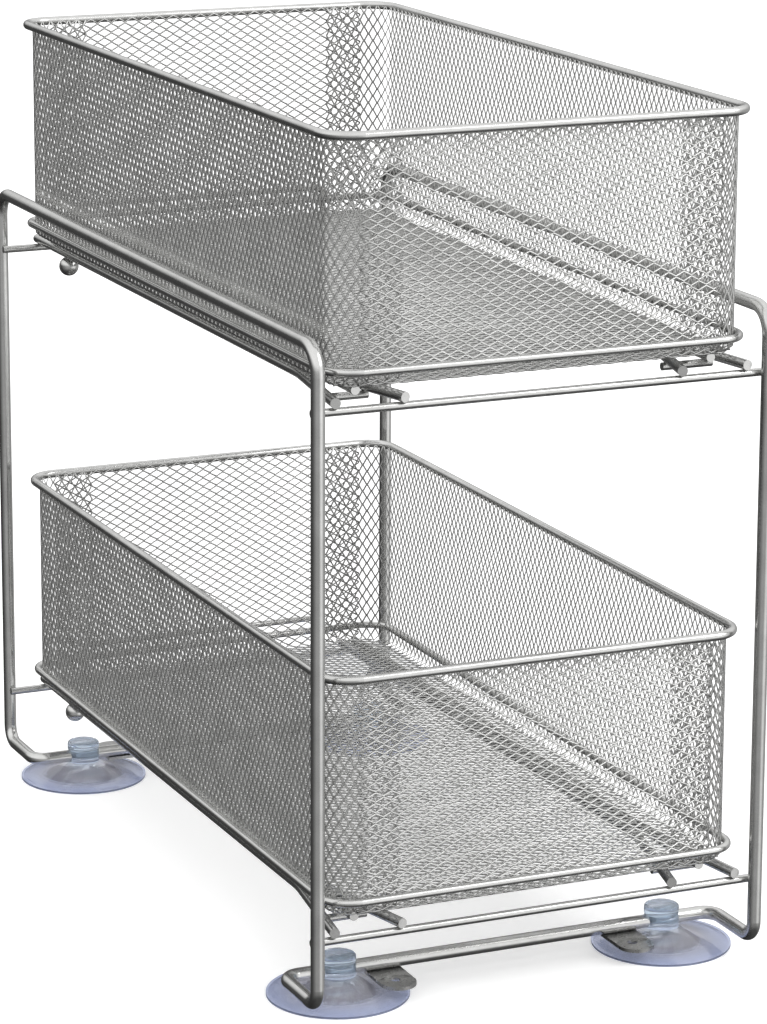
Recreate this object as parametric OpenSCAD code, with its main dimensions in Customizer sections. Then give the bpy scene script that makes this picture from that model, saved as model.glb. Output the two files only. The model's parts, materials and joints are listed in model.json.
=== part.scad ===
// Two-tier sliding basket organizer for the cupboard under a sink.
// Millimetres, X to the right, -Y to the front, +Z up. The origin is the centre of the
// footprint on the floor. Each wire is a round rod with true bends. Each basket is a floor, two
// side walls bent round the corners and two flat end walls of expanded metal inside two rims,
// and it slides on two double-wire tracks.

/* [Side frames] */
// Distance from the middle to the centre lines of the legs, across
leg_x = 103.5; // [95:0.5:140]
// Distance from the middle to the centre lines of the legs, front to back
leg_y = 200; // [170:1:280]
// Diameter of the frame tube
tube_d = 6; // [5:0.5:8]
// Rise of the guard rail above the upper cross wires
guard_rise = 28; // [20:0.5:60]
// Centre-line radius of the two top bends
top_bend_r = 12; // [8:1:30]
// Centre-line radius of the bend from a leg into its foot
foot_bend_r = 8; // [6:0.5:14]
// Centre-line radius of the bend from a foot inwards
toe_bend_r = 7; // [5:0.5:12]
// Length of a foot, from its leg back to its foot bar
foot_run = 38; // [30:1:60]
// Height of the feet and the foot bars above the floor, to the centre line
foot_z = 11; // [9.5:0.5:14]
// Diameter of the plug that joins a foot to its foot bar
plug_d = 4; // [2.5:0.5:4]
// Length of the plug
plug_l = 10; // [6:1:20]

/* [Tiers] */
// Height of the lower cross wires above the floor
lower_z = 37.5; // [34:0.5:60]
// Height of the upper tier above the lower tier
tier_pitch = 226.5; // [160:0.5:320]
// Diameter of the cross wires
cross_d = 3.5; // [2.5:0.5:4.5]
// Length of a cross wire past the centre line of a leg
cross_over = 1; // [0:0.5:8]

/* [Tracks] */
// Diameter of the rail wires
rail_d = 4.5; // [3.5:0.5:5.5]
// Distance between the two wires of a track, centre to centre
track_split = 7.5; // [7:0.5:12]
// Distance from a leg to the middle of its track
track_inset = 21.5; // [18:0.5:40]
// Spread of an outer rail wire at its front end, towards its leg
flare_out = 9; // [4:0.5:14]
// Spread of an inner rail wire at its front end, towards the middle
flare_in = 14.5; // [4:0.5:20]
// Length of the flared stretch
flare_y = 60; // [40:1:100]
// Centre-line radius of the bend into the flare
flare_r = 60; // [20:5:100]
// Length of a rail wire past the cross wires
rail_over = 2.5; // [0:0.5:8]
// Distance from the front end of a track back to the bridge under it
bridge_back = 28; // [10:1:40]
// Length of the bridge past the rail wires on each side
bridge_over = 2; // [1:0.5:6]

/* [Rear stops] */
// Half the width of the loop behind each basket
stop_x = 66; // [30:1:70]
// Height of the loop above its cross wire
stop_rise = 20; // [12:1:40]
// Diameter of the loop wire
stop_d = 3; // [2:0.5:4]
// Centre-line radius of the loop's bends
stop_bend_r = 4; // [3:0.5:10]

/* [Baskets] */
// Gap between the top rim and the legs
side_gap = 2; // [1:0.5:6]
// Distance from the front legs back to the mesh of a closed basket
front_set = 4.5; // [0:0.5:20]
// Gap between the rear stop and the top rim of a closed basket
stop_gap = 3.5; // [1:0.5:20]
// Height from the lower rim to the top rim, centre to centre
basket_h = 97; // [60:0.5:140]
// Height of the lower rim above the underside of the floor
low_rim_rise = 7; // [4:0.5:20]
// Diameter of the top rim
top_rim_d = 4; // [3:0.5:6]
// Diameter of the lower rim
low_rim_d = 3.5; // [2.5:0.5:5]
// Outer radius of the upright corners of the mesh
corner_r = 12; // [8:1:30]
// Thickness of the mesh
mesh_t = 1; // [0.8:0.1:2]
// Width of the mesh strands
strand_w = 2; // [1.2:0.1:3]
// Width of the solid edge of each mesh panel
edge_w = 2; // [1.5:0.5:4]
// Nominal long way of a gap in the walls: upright in the side walls, across in the end walls
cell_l = 22.5; // [15:0.5:45]
// Nominal short way of a gap in the walls
cell_s = 14; // [12:0.5:30]
// Nominal long way of a gap in the floor, across the basket
floor_cell_l = 27; // [20:0.5:60]
// Nominal short way of a gap in the floor
floor_cell_s = 19.5; // [15:0.5:40]
// Width of the flaps of the side walls that lie inside the end walls
flap_w = 19; // [14:1:40]

/* [Runners] */
// Diameter of the runner wires under a basket
runner_d = 4; // [3:0.5:5]
// Distance from each end of the mesh to the end of a runner
runner_inset = 7; // [0:0.5:15]
// Diameter of the ball that keeps a basket on its track
ball_d = 9.5; // [8:0.5:12]
// Depth of the ball's centre below the rail wires
ball_drop = 8; // [7.5:0.5:10]
// Diameter of the ball's stem
stem_d = 2.3; // [1.8:0.1:2.6]
// Distance from the rear of the mesh to the ball
ball_inset = 24; // [15:0.5:60]

/* [Feet] */
// Distance from the middle to the suction cups
cup_x = 78; // [60:1:84]
// Diameter of a suction cup
cup_d = 62; // [40:1:70]
// Height of a suction cup
cup_h = 18; // [17:0.5:24]
// Diameter of the cup's stem
cup_stem_d = 15.6; // [12:0.2:20]
// Thickness of the cup's lip
cup_lip = 1; // [0.6:0.1:2]
// Depth of the hollow under a cup
cup_hollow = 2.6; // [1:0.1:4]
// Distance from a suction cup inwards to the screw tab beside it, centre to centre
tab_aside = 21; // [19:0.5:40]
// Width of a screw tab
tab_w = 16; // [12:0.5:20]
// Thickness of a screw tab
tab_t = 1.5; // [1:0.1:2.5]
// Reach of a screw tab past its foot bar, from the bar's centre line
tab_reach = 24; // [20:0.5:40]
// Distance from the middle of a tab's round end back to its screw hole
hole_back = 3; // [0:0.5:5]
// Diameter of the screw hole
screw_d = 4.5; // [3:0.1:6]

/* [Hidden] */
$fn = 64;
weld = 0.02;          // hairline between wires that are welded where they touch
run_gap = 0.3;        // running gap between a runner and its rail wires
plug_gap = 0.1;       // gap round a plug
cup_gap = 0.05;       // gap between a cup and its foot bar
steel = [0.74, 0.74, 0.72];
mesh_steel = [0.66, 0.66, 0.65];
zinc = [0.45, 0.45, 0.45];
clear_blue = [0.72, 0.80, 0.95, 0.6];

upper_z = lower_z + tier_pitch;
guard_z = upper_z + guard_rise;
foot_y = leg_y - foot_run;
joint_x = leg_x - toe_bend_r - 0.5;
cross_y = leg_y - tube_d / 2 - weld - cross_d / 2;
cross_x = leg_x + cross_over;

rail_lift = cross_d / 2 + weld + rail_d / 2;
rail_y = cross_y + rail_over;
track_x = leg_x - track_inset;
bridge_y = rail_y - bridge_back;
flare_part = 1 - bridge_back / flare_y;
bridge_in = track_x - track_split / 2 - flare_in * flare_part - bridge_over;
bridge_out = track_x + track_split / 2 + flare_out * flare_part + bridge_over;

runner_lift = rail_lift + sqrt(pow((rail_d + runner_d) / 2 + run_gap, 2) - pow(track_split / 2, 2));
floor_lift = runner_lift + runner_d / 2 + weld;
low_rim_lift = floor_lift + low_rim_rise;
top_rim_lift = low_rim_lift + basket_h;
mesh_x = leg_x - tube_d / 2 - side_gap - top_rim_d - weld;
mesh_front = front_set - leg_y;
mesh_rear = cross_y - stop_d / 2 - stop_gap - top_rim_d - weld;
mesh_mid = (mesh_front + mesh_rear) / 2;
mesh_l = mesh_rear - mesh_front;
wall_h = top_rim_lift - floor_lift - mesh_t;
ball_y = mesh_rear - ball_inset;
tab_x = cup_x - tab_aside;

// Wires

function unit(v) = v / norm(v);
function turn(a, p, b) = acos(unit(p - a) * unit(b - p));
function setback(a, p, b, r) = r * tan(turn(a, p, b) / 2);

// Straight round rod from a to b
module rod(a, b, d) {
    v = b - a;
    translate(a) rotate([0, acos(v.z / norm(v)), atan2(v.y, v.x)]) cylinder(h = norm(v), d = d);
}

// Round bend at corner p of the route a, p, b
module bend(a, p, b, r, d) {
    u = unit(p - a);
    v = unit(b - p);
    hub = p + unit(v - u) * r / cos(turn(a, p, b) / 2);
    e = unit(p - u * setback(a, p, b, r) - hub);
    n = cross(e, u);
    multmatrix([
        [e.x, u.x, n.x, hub.x],
        [e.y, u.y, n.y, hub.y],
        [e.z, u.z, n.z, hub.z],
        [0, 0, 0, 1]
    ])
        rotate_extrude(angle = turn(a, p, b)) translate([r, 0]) circle(d = d);
}

// Round rod along a route of points, with one bend radius for each corner. At bends that aren't
// square, lap lets the straight stretches run a little way into the bends, a hair thinner.
module wire(pts, radii, d, lap = 0) {
    last = len(pts) - 1;
    for (i = [0:last - 1]) {
        along = unit(pts[i + 1] - pts[i]);
        back = i == 0 ? 0 : setback(pts[i - 1], pts[i], pts[i + 1], radii[i - 1]) - lap;
        ahead = i == last - 1 ? 0 : setback(pts[i], pts[i + 1], pts[i + 2], radii[i]) - lap;
        rod(pts[i] + along * back, pts[i + 1] - along * ahead, d - lap / 10);
    }
    for (i = [1:1:last - 1]) bend(pts[i - 1], pts[i], pts[i + 1], radii[i - 1], d);
}

// Closed rounded rectangle of round rod, just outside the mesh
module rim(d, z) {
    x = mesh_x + weld + d / 2;
    y = mesh_l / 2 + weld + d / 2;
    r = corner_r + weld + d / 2;
    translate([0, mesh_mid, z]) {
        for (s = [-1, 1]) {
            rod([s * x, r - y, 0], [s * x, y - r, 0], d);
            rod([r - x, s * y, 0], [x - r, s * y, 0], d);
        }
        for (a = [0:90:270]) {
            corner = a % 180 == 0 ? [x - r, y - r] : [y - r, x - r];
            rotate(a) translate(corner) rotate_extrude(angle = 90) translate([r, 0]) circle(d = d);
        }
    }
}

// Frame

// One side frame, s = -1 on the left and 1 on the right
module side_frame(s) {
    x = s * leg_x;
    end_x = s * joint_x;
    color(steel) {
        wire([
            [end_x, -foot_y, foot_z], [x, -foot_y, foot_z], [x, -leg_y, foot_z],
            [x, -leg_y, guard_z], [x, leg_y, guard_z],
            [x, leg_y, foot_z], [x, foot_y, foot_z], [end_x, foot_y, foot_z]
        ], [toe_bend_r, foot_bend_r, top_bend_r, top_bend_r, foot_bend_r, toe_bend_r], tube_d);
        for (t = [-1, 1])
            rod([end_x, t * foot_y, foot_z], [end_x - s * plug_l, t * foot_y, foot_z], plug_d);
    }
}

// Tube between the two side frames, bored at both ends for their plugs
module foot_bar(t) {
    bore_l = plug_l + 1;
    color(steel) difference() {
        rod([-joint_x, t * foot_y, foot_z], [joint_x, t * foot_y, foot_z], tube_d);
        for (s = [-1, 1])
            rod([s * (joint_x - bore_l), t * foot_y, foot_z], [s * (joint_x + 1), t * foot_y, foot_z],
                plug_d + 2 * plug_gap);
    }
}

module cross_wire(t, z) {
    color(steel) rod([-cross_x, t * cross_y, z], [cross_x, t * cross_y, z], cross_d);
}

// Tracks

// One rail wire; side is the side of the frame, s the side of the track that it lies on
module rail(side, s, z) {
    x = side * track_x + s * track_split / 2;
    end_x = x + s * (s == side ? flare_out : flare_in);
    h = z + rail_lift;
    color(steel)
        wire([[x, rail_y, h], [x, flare_y - rail_y, h], [end_x, -rail_y, h]], [flare_r], rail_d, 0.2);
}

// Short wire welded under the two flared rail wires of a track
module bridge(side, z) {
    h = z + rail_lift - rail_d / 2 - weld - cross_d / 2;
    color(steel) rod([side * bridge_in, -bridge_y, h], [side * bridge_out, -bridge_y, h], cross_d);
}

// Loop on the rear cross wire that keeps a basket from sliding out at the back
module rear_stop(z) {
    foot = z + cross_d / 2 + weld;
    top = z + stop_rise;
    color(steel)
        wire([[-stop_x, cross_y, foot], [-stop_x, cross_y, top], [stop_x, cross_y, top], [stop_x, cross_y, foot]],
            [stop_bend_r, stop_bend_r], stop_d);
}

// Feet

// Radial height of the cup's skirt, from its lip up to the stem
function skirt_z(r, foot_h) =
    cup_lip + (foot_h - cup_lip) * pow((cup_d / 2 - r) / (cup_d / 2 - cup_stem_d / 2), 1.8);

module cup(s, t) {
    steps = 12;
    stem_r = cup_stem_d / 2;
    lip_r = cup_d / 2;
    skirt_h = foot_z - tube_d / 2;
    groove = 0.8;
    cap_h = 3.6;
    crown = 1.2;
    flank = [for (i = [0:steps]) let(r = lip_r + (stem_r - lip_r) * i / steps) [r, skirt_z(r, skirt_h)]];
    hollow = [for (i = [0:steps]) let(r = (lip_r - cup_lip) * i / steps)
        [r, cup_hollow * (1 - pow(i / steps, 2))]];
    collar = [
        [stem_r, cup_h - cap_h - 2 * groove], [stem_r - groove, cup_h - cap_h - groove],
        [stem_r, cup_h - cap_h], [stem_r, cup_h - crown]
    ];
    dome = [for (a = [30:30:90]) [stem_r - crown + crown * cos(a), cup_h - crown + crown * sin(a)]];
    color(clear_blue) translate([s * cup_x, t * foot_y, 0]) difference() {
        rotate_extrude() polygon(concat(hollow, [[lip_r, 0]], flank, collar, dome, [[0, cup_h]]));
        rod([-lip_r, 0, foot_z], [lip_r, 0, foot_z], tube_d + 2 * cup_gap);
    }
}

// Flat tab under a foot bar, with a round end and a screw hole in a lens-shaped recess
module tab(s, t) {
    under = foot_z - tube_d / 2 - weld - tab_t;
    hole_y = tab_reach - tab_w / 2 - hole_back;
    recess = tab_t / 3;
    lens_r = 9;
    lens_off = 5.2;
    color(zinc) translate([s * tab_x, t * foot_y, under]) mirror([0, t < 0 ? 1 : 0, 0]) difference() {
        union() {
            translate([-tab_w / 2, -tube_d / 3, 0]) cube([tab_w, tab_reach - tab_w / 2 + tube_d / 3, tab_t]);
            translate([0, tab_reach - tab_w / 2, 0]) cylinder(h = tab_t, d = tab_w);
        }
        translate([0, hole_y, -1]) cylinder(h = tab_t + 2, d = screw_d);
        translate([0, hole_y, tab_t - recess]) intersection() {
            translate([0, -lens_off, 0]) cylinder(h = 1, r = lens_r);
            translate([0, lens_off, 0]) cylinder(h = 1, r = lens_r);
        }
    }
}

// Baskets

// Diamond gaps on a w by h field: full ones inside, halves on the edges, quarters in the corners
module gaps(w, h, cell_w, cell_t) {
    nx = max(1, round(w / cell_w));
    ny = max(1, round(h / cell_t));
    a = w / nx / 2;
    b = h / ny / 2;
    k = 1 - strand_w / 2 * norm([a, b]) / (a * b);
    for (i = [0:2 * nx], j = [0:2 * ny]) if ((i + j) % 2 == 0) {
        c = [i * a, j * b];
        tips = [for (v = [[a, 0], [0, b], [-a, 0], [0, -b]]) let(p = c + k * v)
            if (p.x > -0.001 && p.x < w + 0.001 && p.y > -0.001 && p.y < h + 0.001) p];
        polygon(len(tips) == 2 ? concat(tips, [c]) : tips);
    }
}

// Upright mesh panel in the XZ plane, thickness towards -Y
module panel(w, cell_w, cell_t) {
    rotate([90, 0, 0]) linear_extrude(mesh_t) difference() {
        translate([-w / 2, 0]) square([w, wall_h]);
        translate([edge_w - w / 2, edge_w]) gaps(w - 2 * edge_w, wall_h - 2 * edge_w, cell_w, cell_t);
    }
}

// Quarter of an upright mesh corner, round +Z from +X to +Y, with one column of diamonds
module mesh_corner() {
    rows = max(1, round((wall_h - 2 * edge_w) / cell_l));
    a = corner_r * 0.55;
    b = (wall_h - 2 * edge_w) / rows / 2;
    difference() {
        rotate_extrude(angle = 90) translate([corner_r - mesh_t, 0]) square([mesh_t, wall_h]);
        for (j = [0:rows - 1])
            translate([0, 0, edge_w + (2 * j + 1) * b]) rotate([90, 0, 135]) translate([0, 0, corner_r / 2])
                linear_extrude(corner_r) polygon([[a, 0], [0, b - strand_w / 2], [-a, 0], [0, strand_w / 2 - b]]);
    }
}

// Long wall in one piece with its two corners and the flaps that lie inside the end walls
module side_mesh(s, z) {
    hub_x = mesh_x - corner_r;
    end_y = mesh_l / 2 - mesh_t - weld;
    color(mesh_steel) translate([0, mesh_mid, z + floor_lift + mesh_t]) mirror([s < 0 ? 1 : 0, 0, 0]) {
        translate([mesh_x, 0, 0]) rotate(-90) panel(2 * (end_y - corner_r), cell_s, cell_l);
        for (t = [0, 1]) mirror([0, t, 0]) {
            translate([hub_x, end_y - corner_r, 0]) mesh_corner();
            translate([hub_x - flap_w / 2, end_y, 0]) panel(flap_w, cell_s, cell_l);
        }
    }
}

// Flat short wall outside the flaps, t = -1 in front and 1 at the rear
module end_mesh(t, z) {
    color(mesh_steel) translate([0, mesh_mid, z + floor_lift + mesh_t]) mirror([0, t < 0 ? 1 : 0, 0])
        translate([0, mesh_l / 2, 0]) panel(2 * (mesh_x - corner_r), cell_l, cell_s);
}

// Floor with rounded corners, whole under the walls
module floor_mesh(z) {
    w = 2 * mesh_x;
    edge = edge_w + corner_r * (1 - sqrt(0.5));
    color(mesh_steel) translate([0, mesh_mid, z + floor_lift]) linear_extrude(mesh_t) difference() {
        union() {
            square([w - 2 * corner_r, mesh_l], center = true);
            square([w, mesh_l - 2 * corner_r], center = true);
            for (sx = [-1, 1], sy = [-1, 1])
                translate([sx * (w / 2 - corner_r), sy * (mesh_l / 2 - corner_r)]) circle(r = corner_r);
        }
        translate([edge - w / 2, edge - mesh_l / 2])
            gaps(w - 2 * edge, mesh_l - 2 * edge, floor_cell_l, floor_cell_s);
    }
}

// Wire under the floor that runs in the groove of a track
module runner(s, z) {
    x = s * track_x;
    h = z + runner_lift;
    color(steel) rod([x, mesh_front + runner_inset, h], [x, mesh_rear - runner_inset, h], runner_d);
}

// Ball below the track on a stem that passes between the two rail wires
module ball(s, z) {
    top = z + runner_lift - runner_d / 2 - weld;
    low = z + rail_lift - ball_drop;
    color(steel) translate([s * track_x, ball_y, 0]) {
        translate([0, 0, low]) cylinder(h = top - low, d = stem_d);
        translate([0, 0, low]) sphere(d = ball_d);
    }
}

side_frame(-1);  // left_side_frame
side_frame(1);  // right_side_frame
foot_bar(-1);  // front_foot_bar
foot_bar(1);  // rear_foot_bar
cross_wire(-1, lower_z);  // lower_front_cross_wire
cross_wire(1, lower_z);  // lower_rear_cross_wire
cross_wire(-1, upper_z);  // upper_front_cross_wire
cross_wire(1, upper_z);  // upper_rear_cross_wire
rail(-1, -1, lower_z);  // lower_left_outer_rail
rail(-1, 1, lower_z);  // lower_left_inner_rail
rail(1, -1, lower_z);  // lower_right_inner_rail
rail(1, 1, lower_z);  // lower_right_outer_rail
rail(-1, -1, upper_z);  // upper_left_outer_rail
rail(-1, 1, upper_z);  // upper_left_inner_rail
rail(1, -1, upper_z);  // upper_right_inner_rail
rail(1, 1, upper_z);  // upper_right_outer_rail
bridge(-1, lower_z);  // lower_left_bridge
bridge(1, lower_z);  // lower_right_bridge
bridge(-1, upper_z);  // upper_left_bridge
bridge(1, upper_z);  // upper_right_bridge
rear_stop(lower_z);  // lower_rear_stop
rear_stop(upper_z);  // upper_rear_stop
cup(-1, -1);  // front_left_cup
cup(1, -1);  // front_right_cup
cup(-1, 1);  // rear_left_cup
cup(1, 1);  // rear_right_cup
tab(-1, -1);  // front_left_tab
tab(1, -1);  // front_right_tab
tab(-1, 1);  // rear_left_tab
tab(1, 1);  // rear_right_tab
color(steel) rim(top_rim_d, lower_z + top_rim_lift);  // lower_top_rim
color(steel) rim(low_rim_d, lower_z + low_rim_lift);  // lower_low_rim
end_mesh(-1, lower_z);  // lower_front_mesh
end_mesh(1, lower_z);  // lower_rear_mesh
side_mesh(-1, lower_z);  // lower_left_mesh
side_mesh(1, lower_z);  // lower_right_mesh
floor_mesh(lower_z);  // lower_floor_mesh
runner(-1, lower_z);  // lower_left_runner
runner(1, lower_z);  // lower_right_runner
ball(-1, lower_z);  // lower_left_ball
ball(1, lower_z);  // lower_right_ball
color(steel) rim(top_rim_d, upper_z + top_rim_lift);  // upper_top_rim
color(steel) rim(low_rim_d, upper_z + low_rim_lift);  // upper_low_rim
end_mesh(-1, upper_z);  // upper_front_mesh
end_mesh(1, upper_z);  // upper_rear_mesh
side_mesh(-1, upper_z);  // upper_left_mesh
side_mesh(1, upper_z);  // upper_right_mesh
floor_mesh(upper_z);  // upper_floor_mesh
runner(-1, upper_z);  // upper_left_runner
runner(1, upper_z);  // upper_right_runner
ball(-1, upper_z);  // upper_left_ball
ball(1, upper_z);  // upper_right_ball
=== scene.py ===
"""Two-tier sliding basket organizer: materials, the mesh at its true pitch, light and camera."""

import json
import math

import bpy
import numpy as np
from mathutils import Matrix, Vector


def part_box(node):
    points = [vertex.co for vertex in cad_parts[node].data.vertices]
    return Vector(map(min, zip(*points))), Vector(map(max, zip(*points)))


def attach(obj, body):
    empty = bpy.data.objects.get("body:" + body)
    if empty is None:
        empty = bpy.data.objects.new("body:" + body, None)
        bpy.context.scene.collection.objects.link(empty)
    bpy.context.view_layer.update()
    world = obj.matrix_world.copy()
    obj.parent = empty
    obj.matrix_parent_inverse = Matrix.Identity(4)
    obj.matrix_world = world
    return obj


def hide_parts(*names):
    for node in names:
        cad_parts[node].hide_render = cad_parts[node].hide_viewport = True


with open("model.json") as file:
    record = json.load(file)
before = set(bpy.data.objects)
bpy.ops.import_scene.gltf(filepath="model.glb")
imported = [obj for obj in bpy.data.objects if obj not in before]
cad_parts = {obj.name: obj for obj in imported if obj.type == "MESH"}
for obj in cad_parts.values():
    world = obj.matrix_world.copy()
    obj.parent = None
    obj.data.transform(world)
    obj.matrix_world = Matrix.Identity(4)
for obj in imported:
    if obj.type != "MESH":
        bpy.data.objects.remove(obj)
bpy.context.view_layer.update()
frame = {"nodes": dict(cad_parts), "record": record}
nodes = frame["nodes"]
record = frame["record"]

MM = 0.001

# Camera, as fitted to the photograph
FRAME_LONG_SIDE = 1024
FOCAL_PIXELS = 3964
SENSOR = 36.0
CAMERA_PLACE = (-0.7090, -1.6333, 0.6238)
AZIMUTH = math.radians(23.875)
ELEVATION = math.radians(12.919)
ROLL = math.radians(0.241)
SHIFT_Y = -0.1
CLIP_NEAR, CLIP_FAR = 0.05, 50

# Expanded mesh: the long way of a gap lies across the basket and up its long walls
LONG_PITCH = 7.2 * MM
SHORT_PITCH = 4.55 * MM
STRAND_WIDE = 0.84 * MM
STRAND_THICK = 0.45 * MM
STRAND_TWIST = math.radians(40)
KNUCKLE = 0.35 * MM
CORNER_RADIUS = 12 * MM
FLAP = 19 * MM
ROLL_RADIUS = 2.5 * MM

# Paint and vinyl colours, each as a pair that the material wanders or fades between
WIRE_SILVER = (0.56, 0.56, 0.55), (0.66, 0.66, 0.65)
MESH_SILVER = (0.54, 0.54, 0.53), (0.67, 0.67, 0.66)
TAB_GREY = (0.32, 0.32, 0.315), (0.42, 0.42, 0.415)
SKIRT_BLUE = (0.60, 0.66, 0.87), (0.80, 0.79, 0.84)
STEM_BLUE = (0.62, 0.73, 0.86), (0.72, 0.82, 0.92)

# Heights on a suction cup between which its skirt turns grey, and its colour turns to the stem's
SKIRT_FADE = 0.5 * MM, 4 * MM
STEM_FADE = 6.5 * MM, 8.5 * MM

# Brightness of the studio round the object, of what lies straight below, and of the lit floor
SKY_LEFT, SKY_RIGHT = 1.25, 1.1
SKY_REAR = 0.85
LOW_REAR, LOW_FRONT = 0.05, 0.48
UNDER = 0.15
SOFTBOX = 0.9
SOFTBOX_SIDE = (0.6, -0.8, 0)
FLOOR_GLOW = 0.35
FLOOR_HALF = 12.0

# Key light, in metres and watts
KEY_PLACE = (1.7, -1.5, 1.9)
KEY_AIM = (0, 0, 0.2)
KEY_SIDE = 1.2
KEY_POWER = 25


# Node materials

def new_material(name):
    material = bpy.data.materials.new(name)
    material.use_nodes = True
    tree = material.node_tree
    shader = next(n for n in tree.nodes if n.type == "BSDF_PRINCIPLED")
    return material, tree, shader


def noise(tree, scale, detail=3.0):
    place = tree.nodes.new("ShaderNodeTexCoord")
    texture = tree.nodes.new("ShaderNodeTexNoise")
    texture.inputs["Scale"].default_value = scale
    texture.inputs["Detail"].default_value = detail
    tree.links.new(place.outputs["Object"], texture.inputs["Vector"])
    return texture.outputs["Fac"]


def spread(tree, value, low, high, from_low=0.3, from_high=0.7):
    """value, which runs between from_low and from_high, mapped to low..high."""
    ranged = tree.nodes.new("ShaderNodeMapRange")
    ranged.inputs["From Min"].default_value = from_low
    ranged.inputs["From Max"].default_value = from_high
    ranged.inputs["To Min"].default_value = low
    ranged.inputs["To Max"].default_value = high
    tree.links.new(value, ranged.inputs["Value"])
    return ranged.outputs["Result"]


def axes(tree, vector):
    ways = tree.nodes.new("ShaderNodeSeparateXYZ")
    tree.links.new(vector, ways.inputs["Vector"])
    return ways.outputs


def mix_colour(tree, share, a, b):
    """A colour between a and b, which are colours or outputs of other nodes."""
    mix = tree.nodes.new("ShaderNodeMix")
    mix.data_type = "RGBA"
    tree.links.new(share, mix.inputs["Factor"])
    for name, colour in (("A", a), ("B", b)):
        if isinstance(colour, tuple):
            mix.inputs[name].default_value = (*colour, 1)
        else:
            tree.links.new(colour, mix.inputs[name])
    return mix.outputs["Result"]


def bump(tree, height, strength, distance):
    node = tree.nodes.new("ShaderNodeBump")
    node.inputs["Strength"].default_value = strength
    node.inputs["Distance"].default_value = distance
    tree.links.new(height, node.inputs["Height"])
    return node.outputs["Normal"]


def silver_paint(name, colours, metallic, rough_low, rough_high):
    """Satin silver paint on steel, a little uneven in colour and gloss, with fine orange peel."""
    material, tree, shader = new_material(name)
    patches = spread(tree, noise(tree, 90, 4), 0, 1)
    gloss = spread(tree, noise(tree, 500), rough_low, rough_high)
    tree.links.new(mix_colour(tree, patches, *colours), shader.inputs["Base Color"])
    tree.links.new(gloss, shader.inputs["Roughness"])
    tree.links.new(bump(tree, noise(tree, 1800, 2), 0.04, 0.1 * MM), shader.inputs["Normal"])
    shader.inputs["Metallic"].default_value = metallic
    return material


def dull_steel():
    """Pressed tab steel: mid grey, a little worn and cloudy."""
    material, tree, shader = new_material("dull_steel")
    worn = spread(tree, noise(tree, 250, 5), 0, 1)
    tree.links.new(mix_colour(tree, worn, *TAB_GREY), shader.inputs["Base Color"])
    tree.links.new(spread(tree, noise(tree, 600), 0.24, 0.36), shader.inputs["Roughness"])
    tree.links.new(bump(tree, noise(tree, 1200, 2), 0.05, 0.1 * MM), shader.inputs["Normal"])
    shader.inputs["Metallic"].default_value = 0.9
    return material


def clear_vinyl():
    """Clear vinyl with a faint cloudiness: blue at the thin lip, greyer up the skirt, pale stem."""
    material, tree, shader = new_material("clear_vinyl")
    place = tree.nodes.new("ShaderNodeTexCoord")
    height = axes(tree, place.outputs["Object"])["Z"]
    skirt = mix_colour(tree, spread(tree, height, 0, 1, *SKIRT_FADE), *SKIRT_BLUE)
    stem = mix_colour(tree, spread(tree, noise(tree, 60), 0, 1), *STEM_BLUE)
    tint = mix_colour(tree, spread(tree, height, 0, 1, *STEM_FADE), skirt, stem)
    tree.links.new(tint, shader.inputs["Base Color"])
    tree.links.new(spread(tree, noise(tree, 160, 2), 0.03, 0.09), shader.inputs["Roughness"])
    tree.links.new(bump(tree, noise(tree, 220), 0.1, 0.4 * MM), shader.inputs["Normal"])
    shader.inputs["Transmission Weight"].default_value = 0.8
    shader.inputs["IOR"].default_value = 1.45
    return material


mesh_paint = silver_paint("silver_mesh_paint", MESH_SILVER, 0.76, 0.23, 0.34)
SLOT_MATERIALS = {
    "silver_wire": silver_paint("silver_wire_paint", WIRE_SILVER, 0.95, 0.17, 0.26),
    "silver_mesh": mesh_paint,
    "grey_tab": dull_steel(),
    "clear_cup": clear_vinyl(),
}
for part in record["subparts"]:
    node = nodes[part["node"]]
    node.data.materials.clear()
    node.data.materials.append(SLOT_MATERIALS[part["material_slot"]])


# Expanded mesh

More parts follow.
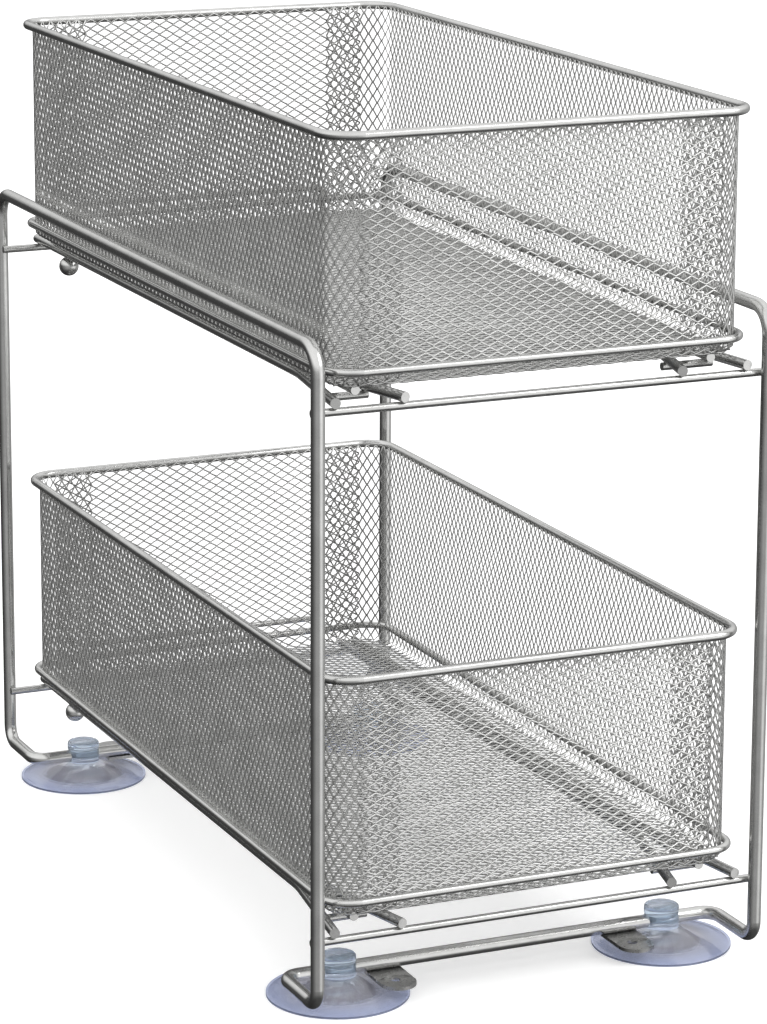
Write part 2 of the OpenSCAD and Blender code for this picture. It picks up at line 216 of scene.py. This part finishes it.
def expanded_metal(name, long_run, short_run, place, twist, inside=None):
    """Zigzag strands along the long way of the gaps, side by side where they meet.

    place turns arrays of the long way, the short way and the depth into points. twist turns
    the strands about the long way. inside, where given, says which points of the sheet are kept.
    """
    steps = 2 * max(1, round(long_run / LONG_PITCH))
    lines = 2 * max(1, round(short_run / SHORT_PITCH))
    step_long = long_run / steps
    line_short = short_run / lines
    line, step = np.meshgrid(np.arange(lines), np.arange(steps + 1), indexing="ij")
    along = step * step_long
    swing = np.where((line + step) % 2 == 0, -1, 1) * (line_short - KNUCKLE) / 2
    across = (line + 0.5) * line_short + swing
    edges = []
    for wide, thick in ((1, 1), (-1, 1), (-1, -1), (1, -1)):
        w = wide * STRAND_WIDE / 2
        t = thick * STRAND_THICK / 2
        shift = w * math.cos(twist) - t * math.sin(twist)
        depth = w * math.sin(twist) + t * math.cos(twist)
        edges.append(place(along, across + shift, np.full(along.shape, depth)))
    corners = np.stack(edges, axis=2)

    index = np.arange(corners[..., 0].size).reshape(corners.shape[:3])
    here, ahead = index[:, :-1], index[:, 1:]
    quads = []
    for k in range(4):
        n = (k + 1) % 4
        quads.append(np.stack([here[..., k], here[..., n], ahead[..., n], ahead[..., k]], axis=-1))
    caps = [index[:, 0, ::-1], index[:, -1]]
    if inside is not None:
        kept = inside((along[:, :-1] + along[:, 1:]) / 2, (across[:, :-1] + across[:, 1:]) / 2)
        quads = [q[kept] for q in quads]
        caps = []
    faces = np.concatenate([q.reshape(-1, 4) for q in quads + caps])
    used, faces = np.unique(faces, return_inverse=True)
    faces = faces.reshape(-1, 4)
    points = corners.reshape(-1, 3)[used]

    # Some placings mirror the strands, whose faces then need turning outwards
    ring, next_ring = corners[0, :2]
    outward = ring[:2].mean(axis=0) - ring.mean(axis=0)
    if np.dot(np.cross(ring[1] - ring[0], next_ring[0] - ring[0]), outward) < 0:
        faces = faces[:, ::-1]

    mesh = bpy.data.meshes.new(name)
    mesh.vertices.add(len(points))
    mesh.vertices.foreach_set("co", points.reshape(-1))
    mesh.loops.add(faces.size)
    mesh.loops.foreach_set("vertex_index", faces.reshape(-1).astype(np.int32))
    mesh.polygons.add(len(faces))
    mesh.polygons.foreach_set("loop_start", np.arange(0, faces.size, 4, dtype=np.int32))
    mesh.update(calc_edges=True)
    mesh.validate()
    mesh.materials.append(mesh_paint)
    return add_object(name, mesh)


def add_object(name, data):
    made = bpy.data.objects.new(name, data)
    bpy.context.scene.collection.objects.link(made)
    return made


def rolled(height):
    """Height above the floor sheet, inset and normal of a wall whose foot is rolled inwards."""
    angle = np.clip(height / ROLL_RADIUS, 0, math.pi / 2)
    rise = ROLL_RADIUS * (1 - np.cos(angle)) + np.maximum(height - ROLL_RADIUS * math.pi / 2, 0)
    inset = ROLL_RADIUS * (1 - np.sin(angle))
    return rise, inset, np.sin(angle), -np.cos(angle)


def end_place(left_x, low_z, y, out):
    """Placing function of an end wall: the long way lies across, the short way goes up."""
    def place(across, up, depth):
        rise, inset, outward, upward = rolled(up)
        x = left_x + across
        return np.stack([x, y + out * (depth * outward - inset), low_z + rise + depth * upward], axis=-1)
    return place


def side_place(side, hub_x, hub_y, middle_y, radius, low_z, reach):
    """Placing function of a side wall that is bent round both corners into its flaps.

    The long way goes up and the short way runs along the sheet, which reaches as far to the
    front as to the rear.
    """
    bend = radius * math.pi / 2

    def place(up, run, depth):
        rise, inset, outward, upward = rolled(up)
        run = run - reach
        angle = np.clip(np.abs(run) - hub_y, 0, bend) / radius
        beyond = np.maximum(np.abs(run) - hub_y - bend, 0)
        r = radius - inset + depth * outward
        x = hub_x + r * np.cos(angle) - beyond
        y = np.sign(run) * (np.minimum(np.abs(run), hub_y) + r * np.sin(angle))
        return np.stack([side * x, middle_y + y, low_z + rise + depth * upward], axis=-1)
    return place


def floor_place(left_x, front_y, z):
    """Placing function of a floor: the long way lies across, the short way goes to the rear."""
    def place(across, back, depth):
        return np.stack([left_x + across, front_y + back, z + depth], axis=-1)
    return place


def in_rounded(half_x, half_y, radius):
    """Test for points of the floor sheet that lie inside its rounded outline."""
    def inside(across, back):
        over_x = np.maximum(np.abs(across - half_x) - half_x + radius, 0)
        over_y = np.maximum(np.abs(back - half_y) - half_y + radius, 0)
        return np.hypot(over_x, over_y) < radius
    return inside


def basket(body):
    """All mesh of one basket, between the boxes of its packed panels."""
    floor_low, floor_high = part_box(f"{body}_floor_mesh")
    wall_low, wall_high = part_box(f"{body}_left_mesh")
    half_sheet = (floor_high.z - floor_low.z) / 2
    sheet_z = floor_low.z + half_sheet
    half_x = (floor_high.x - floor_low.x) / 2
    half_y = (floor_high.y - floor_low.y) / 2
    middle_y = (floor_high.y + floor_low.y) / 2
    sheet_h = wall_high.z - sheet_z - ROLL_RADIUS + ROLL_RADIUS * math.pi / 2
    flat_x = half_x - half_sheet - ROLL_RADIUS
    flat_y = half_y - half_sheet - ROLL_RADIUS
    made = {}
    made["floor"] = expanded_metal(
        f"{body}_floor_strands", 2 * flat_x, 2 * flat_y,
        floor_place(-flat_x, middle_y - flat_y, sheet_z), -STRAND_TWIST,
        in_rounded(flat_x, flat_y, CORNER_RADIUS - half_sheet - ROLL_RADIUS))
    hub_x = half_x - CORNER_RADIUS
    hub_y = (wall_high.y - wall_low.y) / 2 - CORNER_RADIUS
    radius = CORNER_RADIUS - half_sheet
    reach = hub_y + radius * math.pi / 2 + FLAP
    for side, name in ((-1, "left"), (1, "right")):
        made[name] = expanded_metal(
            f"{body}_{name}_strands", sheet_h, 2 * reach,
            side_place(side, hub_x, hub_y, middle_y, radius, sheet_z, reach), STRAND_TWIST)
    for name, y, out in (("front", floor_low.y + half_sheet, -1), ("rear", floor_high.y - half_sheet, 1)):
        made[name] = expanded_metal(
            f"{body}_{name}_strands", 2 * hub_x, sheet_h, end_place(-hub_x, sheet_z, y, out), -STRAND_TWIST)
    for name, piece in made.items():
        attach(piece, f"{body}_basket")
        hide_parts(f"{body}_{name}_mesh")


for tier in ("lower", "upper"):
    basket(tier)


# Floor, light and camera

def floor():
    """Pale lit floor, seen by the camera and through the cups, that sends no light to the object."""
    mesh = bpy.data.meshes.new("studio_floor")
    ends = [(x * FLOOR_HALF, y * FLOOR_HALF, 0) for x, y in ((-1, -1), (1, -1), (1, 1), (-1, 1))]
    mesh.from_pydata(ends, [], [(0, 1, 2, 3)])
    piece = add_object("studio_floor", mesh)
    material, tree, shader = new_material("pale_floor")
    shader.inputs["Base Color"].default_value = (0.92, 0.92, 0.92, 1)
    shader.inputs["Roughness"].default_value = 0.9
    shader.inputs["Specular IOR Level"].default_value = 0.2
    shader.inputs["Emission Color"].default_value = (1, 1, 1, 1)
    shader.inputs["Emission Strength"].default_value = FLOOR_GLOW
    mesh.materials.append(material)
    piece.visible_glossy = False
    piece.visible_diffuse = False


def key_light():
    light = bpy.data.lights.new("key", "AREA")
    light.shape = "SQUARE"
    light.size = KEY_SIDE
    light.energy = KEY_POWER
    lamp = add_object("key", light)
    lamp.location = KEY_PLACE
    lamp.rotation_mode = "QUATERNION"
    lamp.rotation_quaternion = (Vector(KEY_PLACE) - Vector(KEY_AIM)).to_track_quat("Z", "Y")


def combine(tree, operation, a, b):
    node = tree.nodes.new("ShaderNodeMath")
    node.operation = operation
    tree.links.new(a, node.inputs[0])
    tree.links.new(b, node.inputs[1])
    return node.outputs["Value"]


def studio():
    """Soft light from above and a darker lower part, brighter to the front, on a white backdrop."""
    world = bpy.data.worlds.new("studio")
    bpy.context.scene.world = world
    world.use_nodes = True
    tree = world.node_tree
    background = next(n for n in tree.nodes if n.type == "BACKGROUND")
    place = tree.nodes.new("ShaderNodeTexCoord")
    ways = axes(tree, place.outputs["Generated"])
    towards = tree.nodes.new("ShaderNodeVectorMath")
    towards.operation = "DOT_PRODUCT"
    tree.links.new(place.outputs["Generated"], towards.inputs[0])
    towards.inputs[1].default_value = SOFTBOX_SIDE
    facing = towards.outputs["Value"]

    low = combine(tree, "ADD", spread(tree, facing, LOW_REAR, LOW_FRONT, -0.85, 0.2),
                  spread(tree, facing, 0, SOFTBOX, 0.8, 1.0))
    low = combine(tree, "MULTIPLY", low, spread(tree, ways["Z"], UNDER, 1, -0.75, -0.25))
    high = combine(tree, "MULTIPLY", spread(tree, ways["X"], SKY_LEFT, SKY_RIGHT, -0.8, 0.8),
                   spread(tree, ways["Y"], 1, SKY_REAR, 0, 0.8))
    sky = tree.nodes.new("ShaderNodeMix")
    tree.links.new(spread(tree, ways["Z"], 0, 1, 0.05, 0.4), sky.inputs["Factor"])
    tree.links.new(low, sky.inputs["A"])
    tree.links.new(high, sky.inputs["B"])

    path = tree.nodes.new("ShaderNodeLightPath")
    seen = combine(tree, "MAXIMUM", sky.outputs["Result"], path.outputs["Is Camera Ray"])
    background.inputs["Color"].default_value = (1, 1, 1, 1)
    tree.links.new(seen, background.inputs["Strength"])


def camera():
    data = bpy.data.cameras.new("photo_view")
    data.sensor_width = SENSOR
    data.lens = FOCAL_PIXELS / FRAME_LONG_SIDE * SENSOR
    data.shift_y = SHIFT_Y
    data.clip_start, data.clip_end = CLIP_NEAR, CLIP_FAR
    level = math.cos(ELEVATION)
    ahead = Vector((math.sin(AZIMUTH) * level, math.cos(AZIMUTH) * level, -math.sin(ELEVATION)))
    across = Vector((math.cos(AZIMUTH), -math.sin(AZIMUTH), 0))
    over = across.cross(ahead)
    right = across * math.cos(ROLL) + over * math.sin(ROLL)
    up = over * math.cos(ROLL) - across * math.sin(ROLL)
    turned = Matrix((right, up, -ahead)).transposed().to_4x4()
    eye = add_object("photo_view", data)
    eye.matrix_world = Matrix.Translation(CAMERA_PLACE) @ turned
    bpy.context.scene.camera = eye


floor()
studio()
key_light()
camera()
bpy.context.scene.view_settings.view_transform = "Standard"
